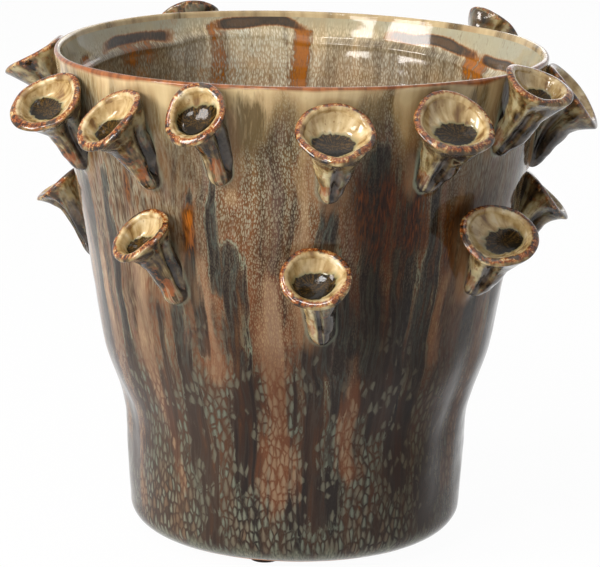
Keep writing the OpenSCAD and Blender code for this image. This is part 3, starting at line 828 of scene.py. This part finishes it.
def makeHorn(name, row, spine):
    flats, overlapAngle, poolReach, poolSide = row[7:]
    lipRadius = spine["lipRadius"]
    seedSpot = Vector([random.uniform(0, 90) for axis in range(3)])
    waveTurn = random.uniform(0, 360)
    rings = hornRings(spine, poolSide)
    bm = turnedSkin(len(rings), hornForm["segments"])
    attributes = {}
    for vert in bm.verts:
        middle, direction, radius, share, part = rings[round(vert.co.z)]
        onOutside, inBowl = part == "out", part == "bowl"
        angle = degrees(atan2(vert.co.y, vert.co.x))
        if abs(vert.co.x) + abs(vert.co.y) < 0.5:
            angle, radius = 0, 0
        across, over = cos(radians(angle)), sin(radians(angle))
        sideways = Vector((1, 0, 0)).lerp(spine["sideways"], share if onOutside else 1)
        sideways = (sideways - direction * sideways.dot(direction)).normalized()
        up = direction.cross(sideways)
        shaped = share ** 1.5 if onOutside else share
        factor = ramped(1, lipOutline(angle, flats), shaped) * hornForm["fit"]
        factor *= 1 + hornForm["wobble"] * noise(Vector((across, over, 0)) * 1.3 + seedSpot) * shaped
        lower = max(0, -over)
        foldAndShade = cream = 0
        if inBowl:
            factor *= 1 - 0.13 * lower * min(1, share * 1.3)  # the lower lip is the thicker one
        elif onOutside:
            factor, foldAndShade, cream = rolledStem(factor, angle, share, lower, overlapAngle)
        else:
            factor *= 1 - 0.06 * lower * limited((lipRadius - radius) / 2)
        side, rise = radius * factor * across, radius * factor * over
        if onOutside:
            side *= ramped(hornForm["tailWidth"], 1, eased(share * 1.6))
        wave = hornForm["wave"] * lipRadius * cos(radians(2 * angle + waveTurn)) * shaped ** 3
        spot = middle + up * rise + sideways * side + direction * wave
        grain = noise(spot / 9 + seedSpot) * ramped(1.3, 0.4, shaped) + noise(spot / 3.6 + seedSpot) * 0.22
        if radius:
            spot += (up * rise + sideways * side).normalized() * grain * (0.5 if inBowl else 1)
        spot = spine["place"] @ spot
        # the root lies flush on the wall, drawn out a little where it is luted on
        azimuth = degrees(atan2(spot.x, -spot.y))
        wallHere = flareRadius(spot.z) + (wallOffset(azimuth, spot.z) if spot.z < rimZ else 0)
        if onOutside:
            root = limited(1 - (hypot(spot.x, spot.y) - wallHere + 0.6) / 3)
            spot += (spot - spine["place"] @ middle) * 0.14 * root * root
        deepest = -0.4 if spot.z > rimZ - 4 else -2.4  # at the rim's crest the wall is thin
        away = hypot(spot.x, spot.y) - wallHere
        if away < deepest:
            scale = (wallHere + deepest) / hypot(spot.x, spot.y)
            spot.x, spot.y = spot.x * scale, spot.y * scale
        vert.co = Vector([limited(*bounded) for bounded in zip(spot, boxLow, boxHigh)]) / 1000
        onRoll = (lipRadius - radius) / hornForm["lipThickness"]  # 0 outside, 1 at the bowl's edge
        pool = poolReach - hypot(share * across / 1.15, share * over / 0.8)
        length = share * 26 if onOutside else 26 + (4 + (1 - share) * 10) * inBowl
        values = dict(
            lipShare=0.65 * bell((1 - share) * lipRadius, 1.3) if onOutside
            else 0 if inBowl else bell(onRoll - 0.3 - 0.16 * lower, 0.46),
            poolDepth=pool * 5 if inBowl else -1.5,
            bowlShare=1 if inBowl or (part == "lip" and radius < lipRadius - 2.4) else 0,
            rootShare=limited(limited(1 - away / 8) * 0.55 + 0.2 * (1 - share)) if onOutside else 0,
            foldShare=foldAndShade,
            tipShare=bell(share - 0.12, 0.16) * bell(angleBetween(angle, overlapAngle - 70), 50) if onOutside else 0,
            creamShare=cream,
            poolRise=share * over + 0.3 if inBowl else 0,
            along=(across * 2.6 + seedSpot.x, over * 2.6, length * 0.11))
        for key, value in values.items():
            attributes.setdefault(key, []).append(value)
    ring, word, number = name.split("_")
    piece = newPiece(ring + "Horn" + number, bm, [hornGlaze], name, attributes)
    smooth = piece.modifiers.new("smooth", "SUBSURF")
    smooth.levels = smooth.render_levels = 1


for name, row in horns.items():
    makeHorn(name, row, spines[name])

print("felt pads")
pads = dict(count=3, turn=-15, diameter=14, thickness=3, ring=56.5, edge=0.5, fit=0.995, wobble=0.008)
for i in range(pads["count"]):
    bm = bmesh.new()
    bmesh.ops.create_cone(bm, cap_ends=True, segments=56, radius1=pads["diameter"] / 2, radius2=pads["diameter"] / 2,
                          depth=pads["thickness"])
    rims = [edge for edge in bm.edges if len({round(vert.co.z, 3) for vert in edge.verts}) == 1]
    bmesh.ops.bevel(bm, geom=rims, offset=pads["edge"], segments=2, profile=0.5, affect="EDGES", material=-1)
    middle = Vector(onCircle(pads["turn"] + 360 * i / pads["count"], pads["ring"], pads["thickness"] / 2))
    for vert in bm.verts:
        push = 1 + pads["wobble"] * noise(vert.co / 2 + Vector((i * 5, 0, 0)))
        vert.co = (Vector((vert.co.x * push * pads["fit"], vert.co.y * push * pads["fit"], vert.co.z)) + middle) / 1000
    newPiece("feltPad%d" % (i + 1), bm, [felt], "felt_pad_%d" % (i + 1), {})
